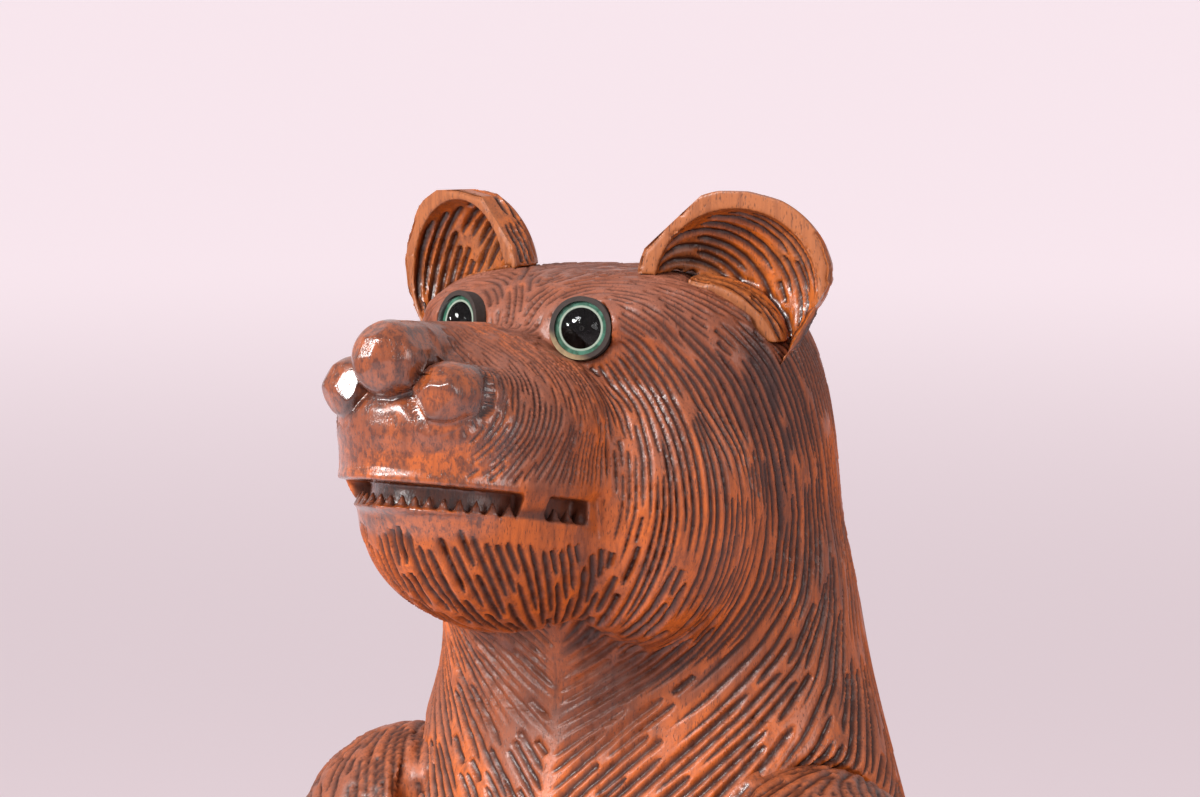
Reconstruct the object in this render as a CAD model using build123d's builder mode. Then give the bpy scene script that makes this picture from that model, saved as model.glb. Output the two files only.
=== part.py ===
"""Standing bear figure: a carved block with let-in ears, arms and glass eyes, on a round plinth.

Millimetres, +Z up. The origin is the centre of the underside, and the bear faces -Y.
Left and right are the bear's own: its left side is +X.
Places on the bear are given as (outward, forward, up). On the trunk, arms and legs, up is
measured from the soles; on the head it is measured from the height of the mouth corners.
"""

import os
from math import cos, radians, sin

from build123d import *

os.makedirs("parts", exist_ok=True)

SIDES = {"left": 1, "right": -1}

# ---- plinth -------------------------------------------------------------------------------
felt_thickness = 2.0
felt_inset = 6.0
plinth_diameter = 240.0
plinth_thickness = 30.0
plinth_chamfer = 5.0
sole_z = felt_thickness + plinth_thickness

# ---- plinth screws: two up into each leg ----------------------------------------------------
screw_diameter = 5.0
screw_head_diameter = 10.0
screw_head_height = 3.0
screw_length = 58.0
screw_head_recess = 1.0
screw_clearance = 0.3
screw_outward = 50.0
screw_forward = (-14.0, 40.0)

# ---- trunk: half-width, half-depth and forward shift of the block at heights above the sole --
trunk_stations = [
    (96, 58, 50, 0),
    (130, 78, 68, 2),
    (172, 91, 80, 5),
    (222, 97, 86, 8),
    (280, 99, 84, 7),
    (330, 97, 76, 4),
    (362, 91, 66, 2),
    (383, 84, 61, 0),
    (398, 79, 58, -1),
    (414, 74.5, 56, -1),
    (432, 72, 56.5, 2),
    (455, 70, 57.5, 8),
    (480, 69.5, 59, 14),
    (503, 68.5, 59, 19),
    (520, 65, 57, 23),
    (531, 58.5, 51.5, 25),
    (538.5, 47.5, 42, 26),
    (542, 29, 25, 27),
]

# ---- head ---------------------------------------------------------------------------------
head_z = sole_z + 498.0
head_pitch = 5.0
brow_centre = (23.0, 56.0, 29.0)
brow_radii = (27.0, 21.0, 12.0)
brow_turn = 20.0
cheek_centre = (30.0, 46.0, -26.0)
cheek_radii = (35.0, 44.0, 46.0)
muzzle_centre = (0.0, 96.5, -0.5)
muzzle_radii = (39.0, 54.0, 27.0)
lip_centre = (0.0, 96.0, -14.0)
lip_radii = (38.5, 54.0, 24.0)
bridge_centre = (0.0, 98.0, 16.5)
bridge_radii = (20.0, 46.0, 13.5)
nose_tip_centre = (0.0, 144.5, 23.5)
nose_tip_radii = (10.5, 12.5, 11.5)
nostril_centre = (16.5, 138.5, 13.5)
nostril_radii = (9.4, 12.5, 9.4)
jaw_centre = (0.0, 87.0, -28.0)
jaw_radii = (37.0, 55.0, 37.0)
jaw_pitch = 10.0

# ---- mouth: a slot round the muzzle, with teeth cut in its lower edge -----------------------
mouth_height = 7.4
mouth_depth = 8.0
mouth_centre_z = -25.0
mouth_pitch = 9.5
mouth_plan_forward = 94.0
mouth_plan_radii = (38.0, 53.0)
canine_width = 9.0
canine_angle = 54.5
tooth_height = 4.4
tooth_width = 3.6
tooth_taper = 20.0
tooth_setback = 5.0
tooth_angles = [-90 + 7.2 * step for step in range(26)]

# ---- eyes: glass dome on a painted back, bedded in putty, with a wire into the block ---------
eye_diameter = 16.4
eye_dome_height = 6.0
eye_centre = (22.5, 76.6, 28.8)
eye_turn = 17.0
eye_lift = 8.0
iris_thickness = 0.8
pupil_diameter = 12.6
pupil_height = 1.6
putty_thickness = 2.5
putty_wall = 1.5
putty_collar = 1.0
socket_clearance = 0.3
eye_wire_diameter = 1.6
eye_wire_length = 18.0
eye_wire_clearance = 0.1

# ---- ears: hollow half bowls on a tongue that is let into the block --------------------------
ear_centre = (52.0, 35.0, 39.0)
ear_radii = (31.5, 23.0, 31.0)
ear_rim = 6.0
ear_bowl_depth = 16.0
ear_turn = 20.0
ear_tongue_width = 30.0
ear_tongue_depth = 16.0

# ---- arms: carved separately, housed in the sides of the block -------------------------------
arm_joint_place = (70.0, 25.0, 308.0)
arm_joint_turn = -14.0
shoulder_centre = (74.0, 27.0, 347.0)
shoulder_radii = (41.0, 41.0, 43.0)
upper_arm_centre = (86.0, 22.0, 300.0)
upper_arm_radii = (30.0, 36.0, 64.0)
elbow_centre = (92.0, 20.0, 254.0)
elbow_radii = (28.0, 32.0, 31.0)
forearm_centre = (88.0, 62.0, 252.0)
forearm_radii = (25.0, 56.0, 26.0)
forearm_turn = -8.0
paw_centre = (80.0, 104.0, 251.0)
paw_radii = (26.0, 26.0, 21.0)
arm_dowel_diameter = 12.0
arm_dowel_length = 44.0
arm_dowel_heights = (-26.0, 26.0)

# ---- legs and tail --------------------------------------------------------------------------
hip_centre = (46.0, 6.0, 112.0)
hip_radii = (47.0, 62.0, 82.0)
shin_centre = (50.0, 2.0, 48.0)
shin_radii = (37.0, 42.0, 66.0)
foot_centre = (52.0, 34.0, 8.0)
foot_radii = (33.0, 64.0, 30.0)
foot_turn = 8.0
tail_centre = (0.0, -74.0, 128.0)
tail_radii = (13.0, 18.0, 20.0)

# ---- claws ----------------------------------------------------------------------------------
claw_offsets = (-2, -1, 0, 1, 2)
claw_radii = (4.4, 11.0, 5.0)
paw_claw_pitch = 9.4
paw_claw_forward = 19.0
foot_claw_pitch = 11.4
foot_claw_forward = 58.0
claw_fan = 11.0
claw_drop = 5.0
claw_step_back = 2.5


def point(place, side=1, base_z=sole_z):
    """Model coordinates of an (outward, forward, up) place on one side."""
    outward, forward, up = place
    return (side * outward, -forward, base_z + up)


def ellipsoid(radii, centre, rotation=(0, 0, 0)):
    """An ellipsoid: a half disc spun half round and stretched, with its mirror image."""
    with BuildPart(mode=Mode.PRIVATE) as ball:
        with BuildSketch(Plane.XZ):
            Circle(1)
            Rectangle(1, 2, align=(Align.MAX, Align.CENTER), mode=Mode.SUBTRACT)
        revolve(axis=Axis.Z, revolution_arc=180)
        scale(by=radii)
        mirror(about=Plane.XZ)
    return ball.part.moved(Location(centre, rotation))


def claws(place, side, pitch, reach, turn):
    """Five claws fanned across the front of a paw or a foot."""
    outward, forward, up = place
    facing = radians(turn)
    forms = []
    for offset in claw_offsets:
        sideways = offset * pitch
        ahead = reach - abs(offset) * claw_step_back
        spot = (
            outward + sideways * cos(facing) + ahead * sin(facing),
            forward + ahead * cos(facing) - sideways * sin(facing),
            up - claw_drop,
        )
        angle = turn + offset * claw_fan
        forms.append(ellipsoid(claw_radii, point(spot, side), (0, 0, side * angle)))
    return forms


def eye_plane(side):
    """The plane where the glass meets its painted back, looking out of the eye."""
    turn = radians(eye_turn)
    lift = radians(eye_lift)
    axis = (side * sin(turn) * cos(lift), -cos(turn) * cos(lift), sin(lift))
    return Plane(origin=point(eye_centre, side, head_z), z_dir=axis)


def arm_joint_plane(side):
    """The flat cut between an arm and the bottom of its housing, looking out of the block."""
    turn = radians(arm_joint_turn)
    return Plane(
        origin=point(arm_joint_place, side),
        x_dir=(-sin(turn), side * cos(turn), 0),
        z_dir=(side * cos(turn), sin(turn), 0),
    )


def ear_plane(side):
    """The plane of an ear's rim, looking out of its bowl."""
    turn = radians(ear_turn)
    return Plane(
        origin=point(ear_centre, side, head_z),
        x_dir=(cos(turn), side * sin(turn), 0),
        z_dir=(side * sin(turn), -cos(turn), 0),
    )


def dome_radius(diameter, height):
    """Radius of the ball whose cap has this diameter and height."""
    half = diameter / 2
    return (half**2 + height**2) / (2 * height)


def save(name, shape):
    """Label a finished piece with its node name and write its STEP file."""
    shape.label = name
    export_step(shape, f"parts/{name}.step")


# ---- the block: head, trunk and legs in one log ----------------------------------------------
head_turn = (-head_pitch, 0, 0)
head_forms = [
    ellipsoid(muzzle_radii, point(muzzle_centre, 1, head_z), head_turn),
    ellipsoid(lip_radii, point(lip_centre, 1, head_z), head_turn),
    ellipsoid(bridge_radii, point(bridge_centre, 1, head_z), head_turn),
    ellipsoid(jaw_radii, point(jaw_centre, 1, head_z), (-jaw_pitch, 0, 0)),
    ellipsoid(nose_tip_radii, point(nose_tip_centre, 1, head_z)),
]
leg_forms = [ellipsoid(tail_radii, point(tail_centre))]
for side in SIDES.values():
    head_forms += [
        ellipsoid(brow_radii, point(brow_centre, side, head_z), (0, 0, side * brow_turn)),
        ellipsoid(cheek_radii, point(cheek_centre, side, head_z)),
        ellipsoid(nostril_radii, point(nostril_centre, side, head_z)),
    ]
    leg_forms += [
        ellipsoid(hip_radii, point(hip_centre, side)),
        ellipsoid(shin_radii, point(shin_centre, side)),
        ellipsoid(foot_radii, point(foot_centre, side), (0, 0, side * foot_turn)),
    ]
    leg_forms += claws(foot_centre, side, foot_claw_pitch, foot_claw_forward, foot_turn)

screw_base_z = felt_thickness + screw_head_recess
screw_bite = screw_base_z + screw_length - sole_z
screw_places = [
    (side * screw_outward, -forward) for side in SIDES.values() for forward in screw_forward
]

with BuildPart() as block:
    for height, half_width, half_depth, forward in trunk_stations:
        with BuildSketch(Plane.XY.offset(sole_z + height)):
            with Locations((0, -forward)):
                Ellipse(half_width, half_depth)
    loft()
    for form in leg_forms:
        add(form)
    split(bisect_by=Plane.XY.offset(sole_z), keep=Keep.TOP)
    with BuildSketch(Plane.XY.offset(sole_z)):
        with Locations(screw_places):
            Circle(screw_diameter / 2)
    extrude(amount=screw_bite, mode=Mode.SUBTRACT)
    for form in head_forms:
        add(form)


# ---- arms, cut off flat where they meet the bottom of their housing ---------------------------
def make_arm(side):
    forms = [
        ellipsoid(shoulder_radii, point(shoulder_centre, side)),
        ellipsoid(upper_arm_radii, point(upper_arm_centre, side)),
        ellipsoid(elbow_radii, point(elbow_centre, side)),
        ellipsoid(forearm_radii, point(forearm_centre, side), (0, 0, side * forearm_turn)),
        ellipsoid(paw_radii, point(paw_centre, side)),
    ]
    forms += claws(paw_centre, side, paw_claw_pitch, paw_claw_forward, forearm_turn)
    with BuildPart() as arm:
        for form in forms:
            add(form)
        split(bisect_by=arm_joint_plane(side), keep=Keep.TOP)
    return arm.part


def make_dowels(side):
    """The dowels of one arm, half in the arm and half in the block."""
    shapes = []
    for height in arm_dowel_heights:
        with BuildPart() as dowel:
            with BuildSketch(arm_joint_plane(side)):
                with Locations((0, height)):
                    Circle(arm_dowel_diameter / 2)
            extrude(amount=arm_dowel_length / 2, both=True)
        shapes.append(dowel.part)
    return shapes


arms = {name: make_arm(side) for name, side in SIDES.items()}
dowels = {name: make_dowels(side) for name, side in SIDES.items()}
save("arm_dowels", Compound(children=dowels["left"] + dowels["right"]))

for name, arm_shape in arms.items():
    with BuildPart() as arm:
        add(arm_shape)
        for dowel in dowels[name]:
            add(dowel, mode=Mode.SUBTRACT)
    save(f"{name}_arm", arm.part)


# ---- ears: the half bowl above the head, and the tongue below its surface ---------------------
def make_ear(side):
    centre = point(ear_centre, side, head_z)
    turn = (0, 0, side * ear_turn)
    rim_plane = ear_plane(side)
    hollow_radii = (ear_radii[0] - ear_rim, ear_bowl_depth, ear_radii[2] - ear_rim)
    outer = ellipsoid(ear_radii, centre, turn)
    hollow = ellipsoid(hollow_radii, centre, turn)
    with BuildPart() as shell:
        add(outer)
        split(bisect_by=rim_plane, keep=Keep.BOTTOM)
    with BuildPart() as tongue:
        with BuildSketch(rim_plane):
            Rectangle(ear_tongue_width, 2 * ear_tongue_depth)
        extrude(amount=-ear_radii[1])
        add(shell.part, mode=Mode.INTERSECT)
        add(block.part, mode=Mode.INTERSECT)
    with BuildPart() as ear:
        add(shell.part)
        add(hollow, mode=Mode.SUBTRACT)
        add(block.part, mode=Mode.SUBTRACT)
        add(tongue.part)
    return ear.part


ears = {name: make_ear(side) for name, side in SIDES.items()}
for name, ear_shape in ears.items():
    save(f"{name}_ear", ear_shape)

# ---- eyes, made looking up from the origin and then set in both sides ---------------------------
eye_radius = eye_diameter / 2
pupil_radius = pupil_diameter / 2
putty_radius = eye_radius + putty_wall
putty_floor = iris_thickness + putty_thickness
wire_bore = eye_wire_diameter + 2 * eye_wire_clearance
pupil_ball = dome_radius(pupil_diameter, pupil_height)
eye_ball = dome_radius(eye_diameter, eye_dome_height)

with BuildPart() as pupil:
    Cylinder(pupil_radius, pupil_height, align=(Align.CENTER, Align.CENTER, Align.MIN))
    with Locations((0, 0, pupil_height - pupil_ball)):
        Sphere(pupil_ball, mode=Mode.INTERSECT)
    with BuildSketch():
        Circle(pupil_radius)
    extrude(amount=-iris_thickness)

with BuildPart() as lens:
    Cylinder(eye_radius, eye_dome_height, align=(Align.CENTER, Align.CENTER, Align.MIN))
    with Locations((0, 0, eye_dome_height - eye_ball)):
        Sphere(eye_ball, mode=Mode.INTERSECT)
    add(pupil.part, mode=Mode.SUBTRACT)

with BuildPart() as iris:
    with BuildSketch():
        Circle(eye_radius)
        Circle(pupil_radius, mode=Mode.SUBTRACT)
    extrude(amount=-iris_thickness)

with BuildPart() as putty:
    with BuildSketch(Plane.XY.offset(-putty_floor)):
        Circle(putty_radius)
    extrude(amount=putty_floor + putty_collar)
    with BuildSketch(Plane.XY.offset(-iris_thickness)):
        Circle(eye_radius)
    extrude(amount=iris_thickness + putty_collar, mode=Mode.SUBTRACT)
    with BuildSketch(Plane.XY.offset(-putty_floor)):
        Circle(wire_bore / 2)
    extrude(amount=putty_floor, mode=Mode.SUBTRACT)

with BuildPart() as wire:
    with BuildSketch(Plane.XY.offset(-iris_thickness)):
        Circle(eye_wire_diameter / 2)
    extrude(amount=-eye_wire_length)

eye_pieces = {
    "lens": lens.part,
    "iris": iris.part,
    "pupil": pupil.part,
    "putty": putty.part,
    "wire": wire.part,
}
for name, side in SIDES.items():
    for piece, shape in eye_pieces.items():
        save(f"{name}_eye_{piece}", shape.moved(eye_plane(side).location))


# ---- the finished block: mouth, teeth, eye sockets, and the housings of the let-in pieces ------
mouth_plane = Plane(
    origin=point((0, mouth_plan_forward, mouth_centre_z), 1, head_z),
    x_dir=(1, 0, 0),
    z_dir=(0, sin(radians(mouth_pitch)), cos(radians(mouth_pitch))),
)
mouth_floor = mouth_plane.offset(-mouth_height / 2)

with BuildPart() as mouth:
    with BuildSketch(mouth_floor):
        Ellipse(2 * mouth_plan_radii[0], 2 * mouth_plan_radii[1])
        Ellipse(mouth_plan_radii[0] - mouth_depth, mouth_plan_radii[1] - mouth_depth, mode=Mode.SUBTRACT)
        with Locations((0, mouth_plan_radii[1] * 2)):
            Rectangle(4 * mouth_plan_radii[0], 4 * mouth_plan_radii[1], mode=Mode.SUBTRACT)
        for side in SIDES.values():
            with Locations(Rotation(0, 0, side * canine_angle - 90)):
                Rectangle(
                    3 * mouth_plan_radii[1],
                    canine_width,
                    align=(Align.MIN, Align.CENTER),
                    mode=Mode.SUBTRACT,
                )
    extrude(amount=mouth_height)

with BuildPart() as teeth:
    for angle in tooth_angles:
        across = (mouth_plan_radii[0] - tooth_setback) * sin(radians(angle))
        ahead = (mouth_plan_radii[1] - tooth_setback) * cos(radians(angle))
        with BuildSketch(mouth_floor):
            with Locations(Location((across, -ahead), angle)):
                Rectangle(tooth_width, tooth_width)
        extrude(amount=tooth_height, taper=tooth_taper)

with BuildPart() as body:
    add(block.part)
    add(mouth.part, mode=Mode.SUBTRACT)
    add(teeth.part)
    for name, side in SIDES.items():
        plane = eye_plane(side)
        with BuildSketch(plane.offset(-putty_floor)):
            Circle(putty_radius + socket_clearance)
        extrude(amount=putty_floor + eye_diameter, mode=Mode.SUBTRACT)
        with BuildSketch(plane.offset(-iris_thickness)):
            Circle(wire_bore / 2)
        extrude(amount=-eye_wire_length - eye_wire_clearance, mode=Mode.SUBTRACT)
        add(arms[name], mode=Mode.SUBTRACT)
        add(ears[name], mode=Mode.SUBTRACT)
        for dowel in dowels[name]:
            add(dowel, mode=Mode.SUBTRACT)
save("body", body.part)

# ---- plinth, its screws and the felt under it ------------------------------------------------
with BuildPart() as plinth:
    with BuildSketch(Plane.XY.offset(felt_thickness)):
        Circle(plinth_diameter / 2)
    extrude(amount=plinth_thickness)
    chamfer(plinth.faces().sort_by(Axis.Z)[-1].edges(), plinth_chamfer)
    with BuildSketch(Plane.XY.offset(felt_thickness)):
        with Locations(screw_places):
            Circle(screw_diameter / 2 + screw_clearance)
    extrude(amount=plinth_thickness, mode=Mode.SUBTRACT)
    with BuildSketch(Plane.XY.offset(felt_thickness)):
        with Locations(screw_places):
            Circle(screw_head_diameter / 2 + screw_clearance)
    extrude(amount=screw_head_recess + screw_head_height, mode=Mode.SUBTRACT)
save("plinth", plinth.part)

with BuildPart() as screws:
    with BuildSketch(Plane.XY.offset(screw_base_z)):
        with Locations(screw_places):
            Circle(screw_head_diameter / 2)
    extrude(amount=screw_head_height)
    with BuildSketch(Plane.XY.offset(screw_base_z)):
        with Locations(screw_places):
            Circle(screw_diameter / 2)
    extrude(amount=screw_length)
save("plinth_screws", screws.part)

with BuildPart() as felt:
    with BuildSketch():
        Circle(plinth_diameter / 2 - felt_inset)
    extrude(amount=felt_thickness)
save("felt_pad", felt.part)
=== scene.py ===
# %% [markdown]
# # A carved bear
# This figure was cut from a block of reddish hardwood with a V gouge, stained, lacquered and
# given glass eyes. The CAD model holds its sizes. This notebook gives it its looks: thousands
# of tapered cuts that follow the fur, dark stain lying in them, and lacquer on the ridges.
# The first cell loads the imported CAD model and keeps its parts by name.

# %% Load the frame
import math
import random

import bpy
import numpy as np
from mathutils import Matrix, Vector, noise
from mathutils.bvhtree import BVHTree
from mathutils.kdtree import KDTree


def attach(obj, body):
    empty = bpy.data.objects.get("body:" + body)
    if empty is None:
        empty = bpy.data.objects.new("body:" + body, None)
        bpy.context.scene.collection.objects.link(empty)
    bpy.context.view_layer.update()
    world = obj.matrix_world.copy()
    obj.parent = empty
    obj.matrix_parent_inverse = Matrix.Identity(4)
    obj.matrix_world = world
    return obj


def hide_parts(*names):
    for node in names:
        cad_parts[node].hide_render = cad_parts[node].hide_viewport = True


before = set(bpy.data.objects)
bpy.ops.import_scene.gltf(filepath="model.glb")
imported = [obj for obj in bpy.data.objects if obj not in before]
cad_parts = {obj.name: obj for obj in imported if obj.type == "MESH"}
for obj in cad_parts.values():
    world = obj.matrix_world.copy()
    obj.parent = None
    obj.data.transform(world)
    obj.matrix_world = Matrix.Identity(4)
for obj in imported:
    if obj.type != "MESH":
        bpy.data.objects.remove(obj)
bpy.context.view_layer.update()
MM = 0.001

# %% [markdown]
# ## Camera
# The figure is seen a little from its own left and from just above eye height, with a long
# lens, so that the face isn't stretched. Only the head and shoulders are in view.

# %% Camera
AIM = Vector((-14.3, -9.3, 530.0)) * MM
VIEW_AZIMUTH = math.radians(33.0)
VIEW_HEIGHT = math.radians(5.5)
VIEW_DISTANCE = 1.4
FRAME_WIDTH = 0.3857
SENSOR = 36.0
FARTHEST = 400.0

away = Vector((
    math.sin(VIEW_AZIMUTH) * math.cos(VIEW_HEIGHT),
    -math.cos(VIEW_AZIMUTH) * math.cos(VIEW_HEIGHT),
    math.sin(VIEW_HEIGHT),
))
bpy.ops.object.camera_add(location=AIM + away * VIEW_DISTANCE)
camera = bpy.context.object
camera.rotation_euler = (-away).to_track_quat("-Z", "Y").to_euler()
camera.data.sensor_width = SENSOR
camera.data.lens = SENSOR * VIEW_DISTANCE / FRAME_WIDTH
camera.data.clip_end = FARTHEST
bpy.context.scene.camera = camera
print("lens in mm:", round(camera.data.lens, 1))

# %% [markdown]
# ## Two small helpers for materials
# Colours are chosen as sRGB hex, as in a paint program, and shaders want linear light, so one
# function turns one into the other. A second function adds a node with its settings and links.


# %% Helpers for materials
def colour(code):
    """A linear RGBA colour from an sRGB hex code."""
    channels = [int(code[i:i + 2], 16) / 255 for i in (1, 3, 5)]
    linear = [c / 12.92 if c <= 0.04045 else ((c + 0.055) / 1.055) ** 2.4 for c in channels]
    return (*linear, 1.0)


def add_node(tree, kind, inputs=None, **settings):
    """Adds a node. Each input is a value, or another node's output to link from."""
    made = tree.nodes.new("ShaderNode" + kind)
    for name, value in settings.items():
        setattr(made, name, value)
    for name, value in (inputs or {}).items():
        if isinstance(value, bpy.types.NodeSocket):
            tree.links.new(value, made.inputs[name])
        else:
            made.inputs[name].default_value = value
    return made


def new_material(name, **sockets):
    """A material with its Principled shader, and that shader's uniform values."""
    made = bpy.data.materials.new(name)
    made.use_nodes = True
    shader = made.node_tree.nodes["Principled BSDF"]
    for socket, value in sockets.items():
        shader.inputs[socket.replace("_", " ")].default_value = value
    return made, made.node_tree, shader


def set_material(piece, material):
    piece.data.materials.clear()
    piece.data.materials.append(material)


# %% [markdown]
# ## Carved wood
# The wood is a dense reddish hardwood with dark open pores, stained brown and then lacquered.
# The stain pools in the gouge cuts, so they read almost black; the ridges are rubbed orange
# where hands reach them, and what faces up gets a grey pink painted sheen that stands in for
# the pale room's reflection. Four numbers stored on the mesh say where: "cut" is how deep a
# point lies in a cut, "glow" how rubbed it is, the stain number how much dark stain was left,
# with painted shade added in the mouth slot, on the lower lip and under the chin, and "polish"
# how thick the lacquer is. The grain and pores run upright.


# %% Carved wood
GRAIN = (2.5 * MM, 55 * MM)  # width and length of a streak
PORE = (0.45 * MM, 2.0 * MM)
MOTTLE = (2.2 * MM, 3.5 * MM)
GRIT = (0.5 * MM, 1.2 * MM)


def object_place(tree):
    return add_node(tree, "TexCoord").outputs["Object"]


def wood_coordinates(tree, width, length):
    """Object coordinates squeezed so that a noise cell is width across and length tall."""
    inputs = {"Vector": object_place(tree), "Scale": (1 / width, 1 / width, 1 / length)}
    return add_node(tree, "Mapping", inputs).outputs["Vector"]


def cloud(tree, place, scale=1.0, **more):
    """Noise at a place. Detail and Roughness can be given too."""
    return add_node(tree, "TexNoise", {"Vector": place, "Scale": scale, **more}).outputs["Fac"]


def arithmetic(tree, operation, one, two):
    return add_node(tree, "Math", {0: one, 1: two}, operation=operation).outputs[0]


def mixed(tree, factor, low, high):
    """A colour between low and high."""
    made = add_node(tree, "Mix", data_type="RGBA", blend_type="MIX")
    for socket, value in ((made.inputs[0], factor), (made.inputs[6], low), (made.inputs[7], high)):
        if isinstance(value, bpy.types.NodeSocket):
            tree.links.new(value, socket)
        else:
            socket.default_value = value
    return made.outputs[2]


def ramped(tree, value, low, high, low_to=0.0, high_to=1.0):
    """A value stretched smoothly from one range to another."""
    inputs = {"Value": value, "From Min": low, "From Max": high, "To Min": low_to, "To Max": high_to}
    return add_node(tree, "MapRange", inputs, interpolation_type="SMOOTHSTEP").outputs["Result"]


def stored(tree, name):
    return add_node(tree, "Attribute", attribute_name=name).outputs["Fac"]


def bumped(tree, shader, height, distance, strength=1.0, sockets=("Normal",)):
    """Relief from a height, for the shader's sockets."""
    inputs = {"Height": height, "Distance": distance, "Strength": strength}
    normal = add_node(tree, "Bump", inputs).outputs["Normal"]
    for socket in sockets:
        tree.links.new(normal, shader.inputs[socket])


def carved_wood(name, brown, orange, painted_sheen, deep, painted_sheen_amount=0.55):
    """Stained hardwood: near black in the cuts, orange where rubbed, and a grey pink painted sheen,
    standing in for the room's reflection, on what faces up.
    """
    material, tree, shader = new_material(name, IOR=1.5, Specular_IOR_Level=0.30, Coat_Roughness=0.2)
    polish = stored(tree, "polish")
    broad = cloud(tree, object_place(tree), 28.0, Detail=3.0)
    grain = cloud(tree, wood_coordinates(tree, *GRAIN), Detail=4.0, Roughness=0.65)
    pores = ramped(
        tree, cloud(tree, wood_coordinates(tree, *PORE), Detail=1.0), 0.60, 0.72, 0.0, 0.62)
    mottle = cloud(tree, wood_coordinates(tree, *MOTTLE), Detail=5.0, Roughness=0.7)
    grit = cloud(tree, wood_coordinates(tree, *GRIT), Detail=2.0)

    # brown to orange where rubbed, with darker streaks of grain
    rubbed = ramped(tree, arithmetic(tree, "MULTIPLY", stored(tree, "glow"), broad), 0.12, 0.62)
    wood = mixed(tree, rubbed, colour(brown), colour(orange))
    wood = mixed(tree, ramped(tree, grain, 0.42, 0.72, 0.0, 0.55), wood, colour(deep))

    # painted sheen: the pale room's grey pink reflection painted on what faces up, unless it is polished
    normal = add_node(tree, "NewGeometry").outputs["Normal"]
    upward = add_node(tree, "SeparateXYZ", {0: normal}).outputs["Z"]
    painted_sheen_share = ramped(tree, upward, -0.35, 0.95, 0.0, painted_sheen_amount)
    painted_sheen_share = arithmetic(tree, "MULTIPLY", painted_sheen_share, arithmetic(tree, "SUBTRACT", 1.0, polish))
    wood = mixed(tree, painted_sheen_share, wood, colour(painted_sheen))

    # dark mottling under thick lacquer, open pores, left-over stain with painted shade, and the cuts
    mottled = arithmetic(tree, "MULTIPLY", ramped(tree, mottle, 0.44, 0.62, 0.0, 0.72), polish)
    wood = mixed(tree, mottled, wood, colour("#3a1b12"))
    wood = mixed(tree, pores, wood, colour("#2e1710"))
    wood = mixed(tree, stored(tree, "stain_and_shade"), wood, colour("#261a1a"))
    cut = ramped(tree, stored(tree, "cut"), 0.15, 0.90, 0.0, 0.96)
    wood = mixed(tree, cut, wood, colour("#280e07"))
    tree.links.new(wood, shader.inputs["Base Color"])

    # lacquer where polished, and its unevenness
    tree.links.new(ramped(tree, polish, 0.2, 1.0, 0.10, 0.85), shader.inputs["Coat Weight"])
    shine = ramped(tree, polish, 0.0, 1.0, 0.50, 0.22)
    rough = arithmetic(tree, "ADD", shine, ramped(tree, broad, 0.3, 0.7, -0.06, 0.10))
    tree.links.new(rough, shader.inputs["Roughness"])
    relief = arithmetic(tree, "SUBTRACT", grit, pores)
    relief = arithmetic(tree, "ADD", relief, arithmetic(tree, "MULTIPLY", mottle, polish))
    bumped(tree, shader, relief, 0.12 * MM, 0.55, ("Normal", "Coat Normal"))
    return material


# colours: brown, rubbed orange, the grey pink painted sheen on what faces up, and dark grain
bear_wood = carved_wood(
    "stained lacquered hardwood", "#763a1e", "#b05417", "#875849", "#451e0e")
ear_wood = carved_wood(
    "gouged ear hardwood", "#8c4f28", "#ab5312", "#90614a", "#552812", painted_sheen_amount=0.2)
print("materials:", bear_wood.name, "and", ear_wood.name)

# %% [markdown]
# ## A fine copy of a CAD solid
# The CAD solids are exact but smooth, and their triangles are long and uneven. To carve them,
# each is copied, its loose triangles are merged, and a voxel remesh gives an even skin of
# small squares. About 0.6 mm is fine enough for a 2 mm gouge cut on the head. Below the
# camera's view the cuts are coarser, so the skin can be too.

# %% Fine copies
HEAD_VOXEL = 0.62 * MM
BODY_VOXEL = 1.35 * MM
EAR_VOXEL = 0.55 * MM
COLLAR_Z = 392.0 * MM
OVERLAP = 6.0 * MM


def only(piece):
    """Deselects everything else and makes this piece the active one."""
    bpy.ops.object.select_all(action="DESELECT")
    piece.select_set(True)
    bpy.context.view_layer.objects.active = piece


def merged_copy(node, name):
    """A copy of a CAD node with its loose triangles merged."""
    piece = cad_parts[node].copy()
    piece.data = piece.data.copy()
    for key in list(piece.keys()):
        del piece[key]
    piece.parent = None
    piece.name = name
    bpy.context.scene.collection.objects.link(piece)
    only(piece)
    bpy.ops.object.mode_set(mode="EDIT")
    bpy.ops.mesh.select_all(action="SELECT")
    bpy.ops.mesh.remove_doubles(threshold=0.002 * MM)
    bpy.ops.object.mode_set(mode="OBJECT")
    return piece


def trim(piece, height, keep_above):
    """Cuts a piece level and closes the cut."""
    only(piece)
    bpy.ops.object.mode_set(mode="EDIT")
    bpy.ops.mesh.select_all(action="SELECT")
    bpy.ops.mesh.bisect(
        plane_co=(0, 0, height), plane_no=(0, 0, 1), use_fill=True,
        clear_inner=keep_above, clear_outer=not keep_above)
    bpy.ops.object.mode_set(mode="OBJECT")


def remesh(piece, voxel):
    """An even skin of small squares."""
    only(piece)
    skin = piece.modifiers.new("skin", "REMESH")
    skin.mode = "VOXEL"
    skin.voxel_size = voxel
    bpy.ops.object.modifier_apply(modifier=skin.name)
    print(piece.name, "has", len(piece.data.polygons), "squares")


def points_of(piece):
    flat = np.zeros(len(piece.data.vertices) * 3)
    piece.data.vertices.foreach_get("co", flat)
    return flat.reshape(-1, 3)


def normals_of(piece):
    flat = np.zeros(len(piece.data.vertices) * 3)
    piece.data.vertices.foreach_get("normal", flat)
    return flat.reshape(-1, 3)


def set_points(piece, points):
    piece.data.vertices.foreach_set("co", points.ravel())
    piece.data.update()


def step(value, low, high):
    """0 below low, 1 above high, smooth between."""
    t = np.clip((value - low) / (high - low), 0, 1)
    return t * t * (3 - 2 * t)


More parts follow.
